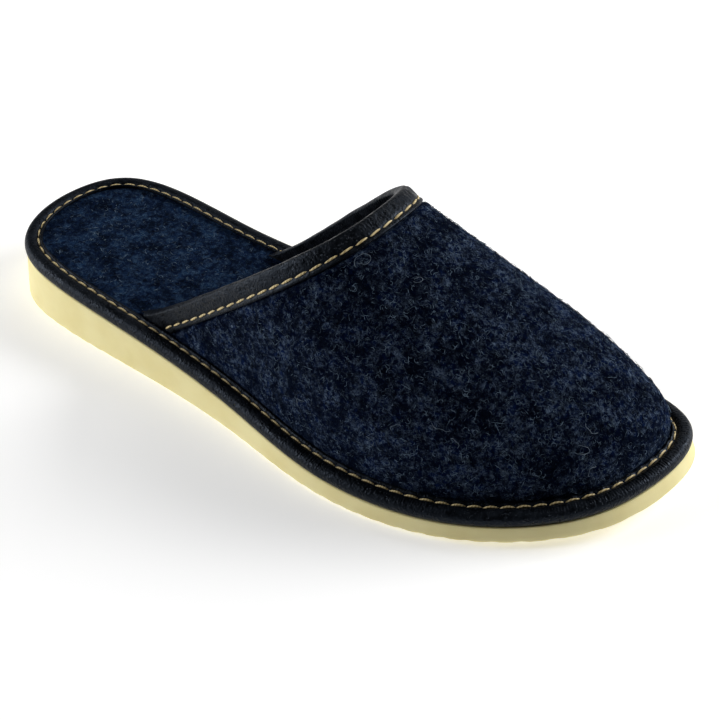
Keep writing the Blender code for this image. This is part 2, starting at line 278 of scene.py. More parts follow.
def side_flare(x):
    """How far the outsole's bottom edge stands outside its top edge."""
    share = x / SHOE_LENGTH
    heel = np.clip(1 - share / HEEL_FLARE_SHARE, 0, 1)
    toe = np.clip((share - TOE_FLARE_SHARE) / (1 - TOE_FLARE_SHARE), 0, 1)
    return SIDE_FLARE + (HEEL_FLARE - SIDE_FLARE) * heel + (TOE_FLARE - SIDE_FLARE) * toe


def side_lines(depth):
    """The right and left base lines of the upper, each from the toe tip back, at an inset."""
    loop = outline()
    loop = loop + inwards(loop) * depth
    half = len(loop) // 2
    back = BACK_SECTION_SHARE * SHOE_LENGTH
    lines = []
    for side in (loop[half::-1], np.vstack([loop[half:], loop[:1]])):
        length = distances(side)
        end = np.argmax(side[:, 0] < back)
        part = (side[end - 1, 0] - back) / (side[end - 1, 0] - side[end, 0])
        whole = length[end - 1] + part * (length[end] - length[end - 1])
        places = np.linspace(0, 1, BASE_LINE_POINTS)
        points = np.column_stack([np.interp(places * whole, length, axis) for axis in side.T])
        lines.append(spline(places, points))
    return lines


def shell_surface(depth):
    """The upper's surface at a depth inside its outer face.

    It gives a point for a share of the way back from the toe tip and an angle over the foot,
    from 0 at the right base line to pi at the left one.
    """
    right, left = side_lines(RAND_WIDTH + depth)
    power = 2 / UPPER_POWER

    def point(share, angle):
        share, angle = np.broadcast_arrays(np.asarray(share, float), angle)
        start, end = right(share), left(share)
        across = np.sign(np.cos(angle)) * np.abs(np.cos(angle)) ** power
        up = np.abs(np.sin(angle)) ** power
        toe = 1 - np.clip(share / TOE_ROUNDING_SHARE, 0, 1)
        rounding = (1 - toe ** TOE_POWER) ** (1 / TOE_POWER)
        rise = (INSTEP_HEIGHT * last_height(share) - CREST_WALL_RATIO * depth) * rounding * up
        flat = (start + end) / 2 + (start - end) / 2 * across[..., None]
        weight = (1 + np.cos(angle)) / 2
        base = footbed_top(start[..., 0]) * weight + footbed_top(end[..., 0]) * (1 - weight)
        y = flat[..., 1] + CREST_LEAN_RATIO * rise * up
        return np.stack([flat[..., 0], y, base + CLEARANCE + rise], axis=-1)

    return point


def collar_share(angle):
    """Where the collar line crosses each angle, as a share of the way back from the toe."""
    weight = (1 + np.cos(angle)) / 2
    low = COLLAR_RIGHT_SHARE * weight + COLLAR_LEFT_SHARE * (1 - weight)
    return low + (COLLAR_CREST_SHARE - low) * np.abs(np.sin(angle)) ** COLLAR_POWER


def collar_start():
    """The angle at which the collar binding clears the rand's lip."""
    climb = RAND_HEIGHT - FOOTBED_THICKNESS + CLEARANCE
    height = INSTEP_HEIGHT * float(last_height(COLLAR_LEFT_SHARE))
    return float(np.arcsin((climb / height) ** (UPPER_POWER / 2)))


def ahead_share(surface, forward, angle):
    """The share of the way back from the toe at a distance forward of the collar line."""
    near = np.clip(angle, 2 * STEP_SHARE, np.pi - 2 * STEP_SHARE)
    share = collar_share(near)
    before, after = near - STEP_SHARE, near + STEP_SHARE
    along = unit(surface(collar_share(after), after) - surface(collar_share(before), before))
    ahead = surface(share - STEP_SHARE, near) - surface(share + STEP_SHARE, near)
    ahead /= 2 * STEP_SHARE
    slant = np.linalg.norm(np.cross(along, ahead), axis=-1)
    slant = np.maximum(slant, NARROWEST_SLANT * np.linalg.norm(ahead, axis=-1))
    return collar_share(angle) - forward / slant


def on_surface(surface, forward, angle):
    """The point and the outward normal at a distance forward of the collar line."""
    share = ahead_share(surface, forward, angle)
    near = np.clip(angle, 2 * STEP_SHARE, np.pi - 2 * STEP_SHARE)
    over = surface(share, near + STEP_SHARE) - surface(share, near - STEP_SHARE)
    ahead = surface(share - STEP_SHARE, near) - surface(share + STEP_SHARE, near)
    return surface(share, angle), unit(np.cross(ahead, over))


def lifted(surface, forward, angle, height=0.0):
    """Points at a distance forward of the collar line and at a height over the surface."""
    point, normal = on_surface(surface, forward, angle)
    return point + normal * height


def on_sole(plan, height):
    """Points over a plan, at a height above the outsole's upper face."""
    return np.concatenate([plan, (sole_top(plan[..., 0]) + height)[..., None]], axis=-1)


def toe_share(x):
    """How far into the toe a place is: nothing behind it, one all round its front."""
    return np.interp(x / SHOE_LENGTH, TOE_SPAN, (0, 1))


def rand_seam(x):
    """How far inside the outline the rand's seam runs, a little further at the toe."""
    return RAND_STITCH_INSET + TOE_STITCH_SHIFT * toe_share(x)


def frame_offset():
    """What moves the last's own coordinates into the row frame."""
    loop = outline()
    low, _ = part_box("rand")
    return np.array([low[0] - loop[:, 0].min(), low[1] - loop[:, 1].min(), 0])


PLACE = frame_offset()


# Mesh helpers


def numbered(grid):
    """The numbers of a grid's points, in its rows and columns."""
    return np.arange(grid[..., 0].size).reshape(grid.shape[:2])


def quads(numbers, closed=False):
    """Quads between rows of point numbers, each row closed on itself where asked."""
    if closed:
        numbers = np.column_stack([numbers, numbers[:, 0]])
    corners = (numbers[:-1, :-1], numbers[:-1, 1:], numbers[1:, 1:], numbers[1:, :-1])
    return np.stack(corners, axis=-1).reshape(-1, 4).tolist()


def put(name, data):
    """A new object in the scene, of a mesh, a light or a camera."""
    item = bpy.data.objects.new(name, data)
    bpy.context.scene.collection.objects.link(item)
    return item


def plain_mesh(name, points, faces=()):
    """A mesh of points that are given in the last's coordinates."""
    mesh = bpy.data.meshes.new(name)
    mesh.from_pydata((points.reshape(-1, 3) + PLACE).tolist(), [], faces)
    return mesh


def new_piece(name, points, faces, material, weld=FINE_WELD):
    """A closed piece from points in the last's coordinates, facing out, shaded smooth."""
    mesh = plain_mesh(name, points, faces)
    shape = bmesh.new()
    shape.from_mesh(mesh)
    bmesh.ops.remove_doubles(shape, verts=shape.verts, dist=weld)
    bmesh.ops.recalc_face_normals(shape, faces=shape.faces)
    shape.to_mesh(mesh)
    shape.free()
    mesh.shade_smooth()
    mesh.materials.append(material)
    return put(name, mesh)


def lumps(points, size, seed):
    """Smooth noise at points, about -1 to 1, with lumps of a size in metres."""
    shift = Vector([part * seed for part in NOISE_SHIFT])
    flat = points.reshape(-1, 3) / size
    values = [noise.noise(Vector(p) + shift) for p in flat]
    return np.array(values).reshape(points.shape[:-1])


def uneven(points, layers):
    """A soft height at points: layers of lumps, each a size, a height and a seed."""
    return sum(height * lumps(points, size, seed) for size, height, seed in layers)


# Materials


def linear(colour):
    """An sRGB hex colour as linear red, green and blue."""
    parts = [int(colour[i:i + 2], 16) / 255 for i in (1, 3, 5)]
    return [p / 12.92 if p <= 0.04045 else ((p + 0.055) / 1.055) ** 2.4 for p in parts]


def wire(tree, node, inputs):
    """Set a node's inputs, each to a value, a hex colour, a socket or a node's first output."""
    for name, value in inputs.items():
        socket = node.inputs[name]
        if isinstance(value, bpy.types.Node):
            value = value.outputs[0]
        if isinstance(value, bpy.types.NodeSocket):
            tree.links.new(value, socket)
        elif isinstance(value, str) and value.startswith("#"):
            socket.default_value = (*linear(value), 1)
        else:
            socket.default_value = value


def add(tree, kind, inputs=None, **settings):
    """One node with its settings and inputs. A kind without Node in its name is a shader's."""
    node = tree.nodes.new(kind if "Node" in kind else "ShaderNode" + kind)
    for name, value in settings.items():
        setattr(node, name, value)
    wire(tree, node, inputs or {})
    return node


def set_stops(node, *stops):
    """The stops of a colour ramp, each a position and a hex colour."""
    elements = node.color_ramp.elements
    while len(elements) < len(stops):
        elements.new(0.5)
    for element, (position, colour) in zip(elements, stops):
        element.position = position
        element.color = (*linear(colour), 1)
    return node


def start_material(name, **uniform):
    """A material with its tree, its shader and the object's coordinates."""
    material = bpy.data.materials.new(name)
    material.use_nodes = True
    tree = material.node_tree
    shader = tree.nodes["Principled BSDF"]
    wire(tree, shader, {socket.replace("_", " "): value for socket, value in uniform.items()})
    return material, tree, shader, add(tree, "TexCoord").outputs["Object"]


def finish_material(tree, shader, colour, height, depth, strength=1.0):
    """The shader's colour, and a bump whose height runs over a depth in metres."""
    bump = add(tree, "Bump", {"Height": height, "Strength": strength, "Distance": depth})
    wire(tree, shader, {"Base Color": colour, "Normal": bump})


# Loose fibre lines on felt: how far one curl reaches and how wide its line is drawn, both in
# millimetres, and how strong it is. Real wool is 0.03 mm thick, too fine for the render.
FIBRE_LINES = ((2.8, 0.24, 1.0), (1.7, 0.24, 0.85), (1.05, 0.22, 0.6))


def fibre_lines(tree, places):
    """Curled fibre lines in several sizes, each broken up so that none runs on."""
    lines = 0.0
    for order, (reach, width, strength) in enumerate(FIBRE_LINES):
        moved = add(tree, "Mapping", {
            "Vector": places, "Location": (0.31 * order, 0.17, 0.23 * order)})
        field = add(tree, "TexNoise", {
            "Vector": moved, "Scale": 1 / (reach * MM), "Detail": 1.0, "Distortion": 1.3})
        away = add(tree, "Math", {0: field, 1: 0.5}, operation="SUBTRACT")
        away = add(tree, "Math", {0: away}, operation="ABSOLUTE")
        line = add(tree, "MapRange", {
            "Value": away, "From Max": width / reach / 2, "To Min": strength, "To Max": 0.0})
        breaks = add(tree, "TexNoise", {"Vector": moved, "Scale": 1 / (1.9 * MM), "Detail": 1.0})
        breaks = add(tree, "MapRange", {"Value": breaks, "From Min": 0.47, "From Max": 0.58})
        line = add(tree, "Math", {0: line, 1: breaks}, operation="MULTIPLY")
        lines = add(tree, "Math", {0: lines, 1: line}, operation="MAXIMUM")
    return lines


def wool_felt(name, deep, middle, light, fibre, hairiness):
    """Boiled wool felt, melange: dyed fibres of several blues matted together.

    It is matt with hardly any sheen, cloudy over 6 to 10 mm, mottled over 1 to 3 mm, and
    single lighter fibres curl over it.
    """
    material, tree, shader, places = start_material(
        name, Roughness=1.0, Specular_IOR_Level=0.02,
        Sheen_Weight=0.05, Sheen_Roughness=0.5, Sheen_Tint="#6090D8")
    clouds = add(tree, "TexNoise", {"Vector": places, "Scale": 1 / (8 * MM), "Detail": 2.0})
    mottle = add(tree, "TexNoise", {
        "Vector": places, "Scale": 1 / (2.2 * MM),
        "Detail": 4.0, "Roughness": 0.7, "Distortion": 0.8})
    cloud_part = add(tree, "Math", {0: clouds, 1: 0.42}, operation="MULTIPLY")
    tone = add(tree, "Math", {0: mottle, 1: 0.58, 2: cloud_part}, operation="MULTIPLY_ADD")
    base = set_stops(
        add(tree, "ValToRGB", {"Fac": tone}), (0.40, deep), (0.51, middle), (0.64, light))
    lines = fibre_lines(tree, places)
    patches = add(tree, "MapRange", {
        "Value": tone, "From Min": 0.43, "From Max": 0.60, "To Min": 0.04, "To Max": hairiness})
    shown = add(tree, "Math", {0: lines, 1: patches}, operation="MULTIPLY")
    colour = add(tree, "Mix", {0: shown, 6: base, 7: fibre}, data_type="RGBA")
    height = add(tree, "Math", {0: lines, 1: 0.35, 2: mottle}, operation="MULTIPLY_ADD")
    finish_material(tree, shader, colour.outputs[2], height, 0.5 * MM)
    return material


def calf_leather(name, base, worn):
    """Smooth black calf leather, drum dyed: semi-matt, with pin pores and a soft broken grain."""
    material, tree, shader, places = start_material(
        name, Specular_IOR_Level=0.24, Specular_Tint="#A9C0E0")
    tone = add(tree, "TexNoise", {
        "Vector": places, "Scale": 1 / (4 * MM), "Detail": 4.0, "Roughness": 0.6})
    colour = set_stops(add(tree, "ValToRGB", {"Fac": tone}), (0.40, base), (0.62, worn))
    grain = add(
        tree, "TexVoronoi", {"Vector": places, "Scale": 1 / (0.8 * MM)}, feature="SMOOTH_F1")
    bent = add(tree, "TexNoise", {"Vector": places, "Scale": 1 / (1.2 * MM), "Detail": 2.0})
    pores = add(tree, "TexVoronoi", {"Vector": places, "Scale": 1 / (1.6 * MM)})
    skin = add(tree, "MapRange", {"Value": pores, "From Min": 0.12, "From Max": 0.27})
    # Each pore is darkened to black in the colour: painted shade in the pores, beside their bump.
    colour_with_painted_pore_shade = add(tree, "VectorMath", {0: colour, "Scale": skin}, operation="SCALE")
    height = 0.0
    for relief, share in ((skin, 2.6), (grain, 0.8), (bent, 1.2)):
        height = add(tree, "Math", {0: relief, 1: share, 2: height}, operation="MULTIPLY_ADD")
    gloss = add(tree, "MapRange", {
        "Value": tone, "From Min": 0.35, "From Max": 0.65, "To Min": 0.34, "To Max": 0.60})
    wire(tree, shader, {"Roughness": gloss})
    finish_material(tree, shader, colour_with_painted_pore_shade, height, 0.24 * MM)
    return material


def moulded_foam(name, base, shade):
    """Cream EVA foam, moulded with a smooth skin: satin, faintly clouded, with fine pores."""
    material, tree, shader, places = start_material(
        name, Roughness=0.6, Specular_IOR_Level=0.3,
        Subsurface_Weight=0.1, Subsurface_Radius=(0.004, 0.003, 0.0015))
    clouds = add(tree, "TexNoise", {"Vector": places, "Scale": 1 / (14 * MM), "Detail": 3.0})
    colour = set_stops(add(tree, "ValToRGB", {"Fac": clouds}), (0.35, shade), (0.65, base))
    pores = add(tree, "TexNoise", {"Vector": places, "Scale": 1 / (0.6 * MM), "Detail": 2.0})
    height = add(tree, "Math", {0: pores, 1: 0.3, 2: clouds}, operation="MULTIPLY_ADD")
    finish_material(tree, shader, colour, height, 0.2 * MM, 0.4)
    return material


def sewing_thread(name, base, shade):
    """Waxed polyester sewing thread in beige: a slight gloss, with the plies' twist as a bump."""
    material, tree, shader, places = start_material(name, Roughness=0.5, Specular_IOR_Level=0.4)
    plies = add(tree, "TexWave", {"Vector": places, "Scale": 1 / (3 * MM), "Distortion": 2.0})
    plies = plies.outputs["Fac"]
    # The colour darkens to the shade colour where the twist's bump is low: painted shade in the
    # grooves between the plies.
    colour = set_stops(add(tree, "ValToRGB", {"Fac": plies}), (0.1, shade), (0.8, base))
    finish_material(tree, shader, colour, plies, 0.08 * MM, 0.6)
    return material


def lining_cloth(name, base, light):
    """Black tricot lining: a matt fine knit, its ribs drawn wide enough to show."""
    material, tree, shader, places = start_material(name, Roughness=0.9, Specular_IOR_Level=0.15)
    knit = add(tree, "TexWave", {"Vector": places, "Scale": 1 / (5 * MM), "Distortion": 1.0})
    knit = knit.outputs["Fac"]
    # The colour is lighter on the ribs' crests and darker between them, following the bump: painted
    # light and shade on the knit.
    colour = set_stops(add(tree, "ValToRGB", {"Fac": knit}), (0.3, base), (0.7, light))
    finish_material(tree, shader, colour, knit, 0.1 * MM, 0.5)
    return material


def wool_fibre(name, dark, light):
    """Single wool fibres: dyed in several blues and greys, matt."""
    material, tree, shader, places = start_material(name, Roughness=0.9, Specular_IOR_Level=0.1)
    tone = add(tree, "TexNoise", {"Vector": places, "Scale": 1 / (2.5 * MM), "Detail": 2.0})
    colour = set_stops(add(tree, "ValToRGB", {"Fac": tone}), (0.47, dark), (0.66, light))
    wire(tree, shader, {"Base Color": colour})
    return material


# Pieces


def ladder_grid(depth, rungs_across):
    """A grid over the sole's plan: rungs from the right side to the left one, heel to toe."""
    loop = outline(PLAN_POINTS)
    loop = loop + inwards(loop) * np.reshape(depth, (-1, 1))
    half = PLAN_POINTS // 2
    right = loop[:half + 1, None]
    left = np.vstack([loop[:1], loop[:half - 1:-1]])[:, None]
    share = (1 - np.cos(np.linspace(0, np.pi, rungs_across + 1)))[:, None] / 2
    return right * (1 - share) + left * share


def slab(name, top, bottom, walls, material):
    """A closed slab from a top and a bottom grid and wall loops between their edges."""
    above = numbered(top)
    count = above.size
    edge = np.r_[above[:, 0], above[::-1, -1]]
    loops = 2 * count + np.arange(len(walls) * len(edge)).reshape(-1, len(edge))
    faces = quads(above) + quads(above + count)
    faces += quads(np.vstack([edge, loops, edge + count]), closed=True)
    points = np.vstack([top.reshape(-1, 3), bottom.reshape(-1, 3), *walls])
    return new_piece(name, points, faces, material, WELD)


def edge_loop(depth):
    """The sole's plan edge at an inset, up the right side and back down the left one."""
    rungs = ladder_grid(depth, 1)
    return np.vstack([rungs[:, 0], rungs[::-1, -1]])


# Tread of the underside: the sway of its ribs, and the shares of SHOE_LENGTH where they fade
TREAD_SWAY = 0.0016
TREAD_SWAY_WIDTH = 0.009
FOREFOOT_TREAD = (0.42, 0.50)
HEEL_TREAD = (0.22, 0.27)


def tread(x, y):
    """Height of the grooves between the shallow ribs of the underside."""
    wave = np.cos(2 * np.pi * (x + TREAD_SWAY * np.sin(y / TREAD_SWAY_WIDTH)) / TREAD_PITCH)
    share = x / SHOE_LENGTH
    zone = np.interp(share, FOREFOOT_TREAD, (0, 1)) + np.interp(share, HEEL_TREAD, (1, 0))
    return TREAD_DEPTH * np.clip(wave, 0, 1) ** 0.7 * zone


# Eased top edge of the foam wedge, from its upper face outwards: inset and drop in metres
TOP_EASING = ((0.0009, 0.0), (0.0006, 0.0001), (0.0004, 0.0005))


def build_sole(material):
    """The foam wedge: eased top edge, flared wall, round bottom edge and ribbed tread."""
    flare = -side_flare(outline(PLAN_POINTS)[:, 0])
    top = on_sole(ladder_grid(TOP_EASING[0][0], 8), 0.0)
    walls = [on_sole(edge_loop(inset), -drop) for inset, drop in TOP_EASING[1:]]
    inset, drop = TOP_EASING[-1]
    for share in (0.25, 0.5, 0.75):
        edge = edge_loop(inset * (1 - share) + flare * share)
        high = sole_top(edge[:, 0]) - drop
        low = sole_bottom(edge[:, 0]) + SOLE_EDGE_RADIUS
        walls.append(np.column_stack([edge, high * (1 - share) + low * share]))
    for turn in np.radians((0, 20, 40, 60, 75)):
        edge = edge_loop(flare + SOLE_EDGE_RADIUS * (1 - np.cos(turn)))
        rise = SOLE_EDGE_RADIUS * (1 - np.sin(turn)) + tread(*edge.T) * np.sin(turn)
        walls.append(np.column_stack([edge, sole_bottom(edge[:, 0]) + rise]))
    plan = ladder_grid(flare + SOLE_EDGE_RADIUS, 8)
    x, y = plan[..., 0], plan[..., 1]
    bottom = np.dstack([plan, sole_bottom(x) + tread(x, y)])
    return slab("foam_wedge_sole", top, bottom, walls, material)


# Relief of the footbed: lumps, each a size, a height and a seed, and the hollow of the heel
FOOTBED_LUMPS = ((7 * MM, 0.00012, 3), (2.5 * MM, 0.00010, 4))
HOLLOW_MIDDLE = (0.045, 0.001)
HOLLOW_REACH = (0.030, 0.022)
HOLLOW_DEPTH = 0.0005
FELT_SETTLING = 0.0001


def build_footbed(material):
    """The felt footbed, softly uneven, with a faint hollow for the heel."""
    edge = RAND_WALL + CLEARANCE
    top = on_sole(ladder_grid(edge + FOOTBED_EASE, 90), FOOTBED_THICKNESS)
    bottom = on_sole(ladder_grid(edge, 90), CLEARANCE)
    wall = on_sole(edge_loop(edge), FOOTBED_THICKNESS - FOOTBED_EASE)
    across = np.linspace(0, 1, top.shape[1])
    inner = np.clip(np.minimum(across, 1 - across) * 8, 0, 1)
    away = (top[..., :2] - HOLLOW_MIDDLE) / HOLLOW_REACH
    hollow = HOLLOW_DEPTH * np.exp(-np.sum(away ** 2, axis=-1))
    top[..., 2] += inner * (uneven(top, FOOTBED_LUMPS) - hollow - FELT_SETTLING)
    return slab("felt_footbed", top, bottom, [wall], material)


def smooth_section(rows, count):
    """More points along a section, on a spline through its rows."""
    rows = np.array(rows)
    places = distances(rows, 0.5)
    return spline(places, rows)(np.linspace(0, places[-1], count))


def bell(value, middle, width):
    """A smooth hump of height one."""
    return np.exp(-((value - middle) / width) ** 2)


# Creases of gathered leather, each range from least to most: depths as shares, then metres
CREASE_DEPTHS = (0.25, 1.0)
CREASE_WIDTHS = (0.00018, 0.00032)
RAND_CREASE_SPACING = (0.0008, 0.0012)
BINDING_CREASE_SPACING = (0.0012, 0.0030)


def gathers(places, draws, spacing):
    """Fine creases across a strip, as troughs at uneven places along it, from -1 to 0."""
    creases = np.zeros(len(places))
    place = 0.0
    while place < places[-1]:
        place += draws.uniform(*spacing)
        depth = draws.uniform(*CREASE_DEPTHS)
        width = draws.uniform(*CREASE_WIDTHS)
        near = np.abs(places - place) < 4 * width
        creases[near] -= depth * bell(places[near], place, width)
    return np.clip(creases, -1, 0)


# Relief of the rand in metres: creases, swell, stitched groove and the scallops of its lip
RAND_CREASE = 0.00042
RAND_SWELL = 0.00014
GROOVE_DEPTH = 0.0002
GROOVE_DRAW = 0.0003
LIP_SCALLOP = 0.00005
TOE_SCALLOP = 0.00028


def build_rand(material):
    """The rolled leather edge, with its stitched groove, scalloped lip and gathered creases."""
    base, into = even_outline(RAND_PARTS)
    x = base[:, 0]
    stitches_along = np.arange(len(base)) / RAND_PARTS
    phase = np.cos(2 * np.pi * stitches_along)
    draws = np.random.default_rng(SEED)
    creases = gathers(stitches_along * RAND_STITCH_PITCH, draws, RAND_CREASE_SPACING)
    creases *= np.interp(x / SHOE_LENGTH, FOREFOOT_SPAN, (0.15, 1))
    strip = on_sole(base, 0.0)
    creases *= np.clip(0.7 + lumps(strip, 14 * MM, 6), 0.2, 1.2)
    swell = RAND_SWELL * lumps(strip, 9 * MM, 5)
    scallop = (LIP_SCALLOP + TOE_SCALLOP * toe_share(x)) * (phase - 0.4)
    drawn = GROOVE_DEPTH + GROOVE_DRAW * (1 - phase) / 2
    rows = []
    for depth_share, height_share in smooth_section(RAND_SKIN, 28):
        creased = RAND_CREASE * creases * (height_share > 0.4)
        rise = bell(depth_share, 0.34, 0.22) * (creased + swell)
        rise -= bell(depth_share, rand_seam(x) / RAND_WIDTH, 0.08) * drawn
        rise += np.interp(depth_share, (0.84, 0.94), (0, 1)) * scallop
        height = CLEARANCE + height_share * (RAND_HEIGHT - CLEARANCE)
        rows.append(on_sole(base + into * depth_share * RAND_WIDTH, height + rise))
    lip = RAND_WIDTH - CLEARANCE
    under = FOOTBED_THICKNESS + CLEARANCE
    rows += [on_sole(base + into * depth, height) for depth, height in (
        (lip, RAND_HEIGHT * 0.88),
        (lip, under),
        (RAND_WALL + FOOTBED_EASE, under),
        (RAND_WALL, under - FOOTBED_EASE - CLEARANCE),
        (RAND_WALL, CLEARANCE),
    )]
    points = np.array(rows)
    numbers = numbered(points)
    faces = quads(np.vstack([numbers, numbers[:1]]), closed=True)
    return new_piece("rolled_leather_rand", points, faces, material)


def angle_steps(count, start=0.0):
    """Angles over the foot from start to pi - start, closer together near the base lines."""
    half = np.linspace(0, 1, count // 2 + 1) ** 1.4
    right = start + (np.pi / 2 - start) * half
    return np.r_[right, np.pi - right[-2::-1]]


def shell_piece(name, outer, inner, material):
    """A closed shell between two grids of points, open at the back and below."""
    skin = numbered(outer)
    faces = quads(skin) + quads(skin + skin.size)
    for edge in (skin[:, 0], skin[:, -1], skin[0]):
        faces += quads(np.stack([edge, edge + skin.size]))
    return new_piece(name, np.stack([outer, inner]), faces, material, WELD)


def shell_grid(depth, angles, row_count, ahead):
    """Points of the vamp at a depth, from a distance forward of the collar line to the toe."""
    surface = shell_surface(depth)
    share = ahead_share(surface, ahead, angles)
    rows = np.linspace(1, 0, row_count + 1) ** 1.5
    return np.array([surface(share * row, angles) for row in rows])


# Relief of the vamp: lumps, each a size, a height and a seed, how far the felt settles, its
# swell beside the binding, and how it is drawn in just above the rand
VAMP_LUMPS = ((16 * MM, 0.00025, 7), (5 * MM, 0.00016, 8), (1.8 * MM, 0.00010, 9))
VAMP_SETTLING = 0.0003
BINDING_SWELL = 0.00035
TUCK_HEIGHT = 0.0045
TUCK_DEPTH = 0.0004


def build_vamp(material):
    """The felt shell, drawn thin under the binding and swelling out next to its edge."""
    angles = angle_steps(200)
    surface = shell_surface(0)
    edge = BINDING_WIDTH + CLEARANCE
    end = edge + 3 * BINDING_SINK
    covered = 5
    outer = [lifted(surface, forward, angles, -BINDING_SINK)
             for forward in np.linspace(0, edge, covered)]
    for way in np.linspace(0, 1, 10)[1:-1]:
        sink = BINDING_SINK * (1 - np.sin(way * np.pi / 2)) ** 1.6
        rise = BINDING_SWELL * np.sin(np.pi * way) - sink
        outer.append(lifted(surface, edge + way * (end - edge), angles, rise))
    strip = len(outer)
    outer = np.vstack([np.array(outer), shell_grid(0, angles, 190, end)])
    above = outer[..., 2] - footbed_top(outer[..., 0])
    tuck = np.interp(above, (0, TUCK_HEIGHT), (1, 0)) ** 2
    fade = np.interp(above, (0, 0.004), (0, 1))
    fade[:covered] = 0
    fade[covered:strip] *= np.linspace(0, 1, strip - covered)[:, None]
    fade[-12:] *= np.linspace(1, 0, 12)[:, None]
    rise = fade * (uneven(outer, VAMP_LUMPS) - VAMP_SETTLING) - TUCK_DEPTH * tuck
    normals = unit(np.cross(np.gradient(outer, axis=0), np.gradient(outer, axis=1)))
    facing = np.sign(np.sum(normals * (outer - outer.mean(axis=(0, 1))), axis=-1))
    outer = outer + normals * (facing * rise)[..., None]
    depth = UPPER_WALL - LINING_THICKNESS
    surface = shell_surface(depth)
    inner = [lifted(surface, forward, angles) for forward in np.linspace(0, end, strip)]
    inner = np.vstack([np.array(inner), shell_grid(depth, angles, 190, end)])
    return shell_piece("felt_vamp", outer, inner, material)


def build_lining(material):
    """The lining cloth inside the vamp."""
    angles = angle_steps(90)
    outer = shell_grid(UPPER_WALL - LINING_THICKNESS + LINING_GAP, angles, 60, 0)
    inner = shell_grid(UPPER_WALL, angles, 60, 0)
    return shell_piece("vamp_lining", outer, inner, material)


def collar_columns(parts):
    """Angles evenly spaced along the collar's seam, parts to a stitch, and their places in it."""
    angles = angle_steps(1200, collar_start())
    length = distances(lifted(shell_surface(0), COLLAR_SEAM, angles))
    stitches = round(length[-1] / COLLAR_STITCH_PITCH)
    places = np.linspace(0, length[-1], stitches * parts + 1)
    return np.interp(places, length, angles), places


# Outer leaf of the collar binding, from its cut edge to the fold.
# Columns: share of BINDING_WIDTH forward of the collar line, share of BINDING_LEATHER, puff.
BINDING_LEAF = (
    (1.00, 0.35, 0.0),
    (0.985, 0.80, 0.0),
    (0.93, 1.00, 0.1),
    (0.84, 0.92, 0.0),
    (0.745, 0.62, 0.0),
    (0.65, 0.92, 0.2),
    (0.50, 1.00, 0.9),
    (0.30, 1.00, 1.3),
    (0.12, 1.00, 1.2),
)

# Relief of the binding: creases, lumps, each a size, a height and a seed, and what a stitch does
BINDING_CREASE = 0.00030
OUTSIDE_LUMPS = ((7 * MM, 0.00034, 12),)
FOLD_LUMPS = ((9 * MM, 0.00025, 14),)
INSIDE_LUMPS = ((7 * MM, 0.00020, 15),)
OUTSIDE_DRAW = 0.00018
INSIDE_DRAW = 0.00012
STITCH_PUFF = 0.00008


def build_binding(material):
    """The leather folded over the collar, drawn in at each stitch and puffed at the fold."""
    angles, places = collar_columns(COLLAR_PARTS)
    outer, inner = shell_surface(0), shell_surface(UPPER_WALL)
    phase = np.cos(2 * np.pi * np.arange(len(angles)) / COLLAR_PARTS)
    drawn = (1 - phase) / 2
    draws = np.random.default_rng(SEED + 1)
    creases = gathers(places, draws, BINDING_CREASE_SPACING)
    creases *= 0.4 + 0.6 * np.sin(angles) ** 4
    rows = []
    leaf = smooth_section(BINDING_LEAF, 22)
    for forward, leather, puff in leaf:
        point, normal = on_surface(outer, forward * BINDING_WIDTH, angles)
        soft = creases * BINDING_CREASE + uneven(point, OUTSIDE_LUMPS) + STITCH_PUFF * phase
        height = CLEARANCE - BINDING_SINK + leather * BINDING_LEATHER + puff * BINDING_PUFF
        height = height + bell(forward, 0.25, 0.30) * soft
        height -= bell(forward, COLLAR_SEAM / BINDING_WIDTH, 0.10) * OUTSIDE_DRAW * drawn
        rows.append(point + normal * height[:, None])
    top = lifted(outer, 0, angles, -BINDING_SINK)
    under = lifted(inner, 0, angles)
    back = unit(lifted(outer, 0, angles) - lifted(outer, BINDING_LEATHER, angles))
    half_wall = (top - under) / 2
    thick = CLEARANCE + BINDING_LEATHER + 1.1 * BINDING_PUFF
    sideways = half_wall + unit(half_wall) * thick
    wander = uneven(under + half_wall, FOLD_LUMPS) + creases * 0.00008
    backwards = back * (thick + wander[:, None])
    for turn in np.linspace(0, np.pi, 15):
        rows.append(under + half_wall + sideways * np.cos(turn) + backwards * np.sin(turn))
    for forward, leather, puff in leaf[::-1]:
        point, normal = on_surface(inner, forward * BINDING_INSIDE_WIDTH, angles)
        height = CLEARANCE + leather * BINDING_LEATHER
        height = height + bell(forward, 0.4, 0.3) * uneven(point, INSIDE_LUMPS)
        height -= bell(forward, COLLAR_SEAM / BINDING_WIDTH, 0.10) * INSIDE_DRAW * drawn
        rows.append(point - normal * height[:, None])
    skin = len(rows)
    for share in (1.0, 0.5, 0.0):
        rows.append(lifted(inner, share * BINDING_INSIDE_WIDTH, angles, -CLEARANCE))
    rows += [under + back * CLEARANCE, top + back * CLEARANCE]
    for share in (0.0, 0.5, 1.0):
        rows.append(lifted(outer, share * BINDING_WIDTH, angles, CLEARANCE - BINDING_SINK))
    points = np.array(rows)
    numbers = numbered(points)
    faces = quads(np.vstack([numbers, numbers[:1]]))
    for end in numbers[:, [0, -1]].T.tolist():
        faces += end_cap(end[:skin], end[skin:])
    return new_piece("collar_binding_leather", points, faces, material)


def end_cap(skin, core):
    """Triangles that close a folded strip's end, from its skin to its core line."""
    core = core[::-1]
    faces = []
    steps = len(skin) - 1
    for i in range(steps):
        here = round(i * (len(core) - 1) / steps)
        after = round((i + 1) * (len(core) - 1) / steps)
        faces.append((skin[i], skin[i + 1], core[here]))
        faces += [(skin[i + 1], core[k + 1], core[k]) for k in range(here, after)]
    return faces


# Stitches and fibres, by Geometry Nodes


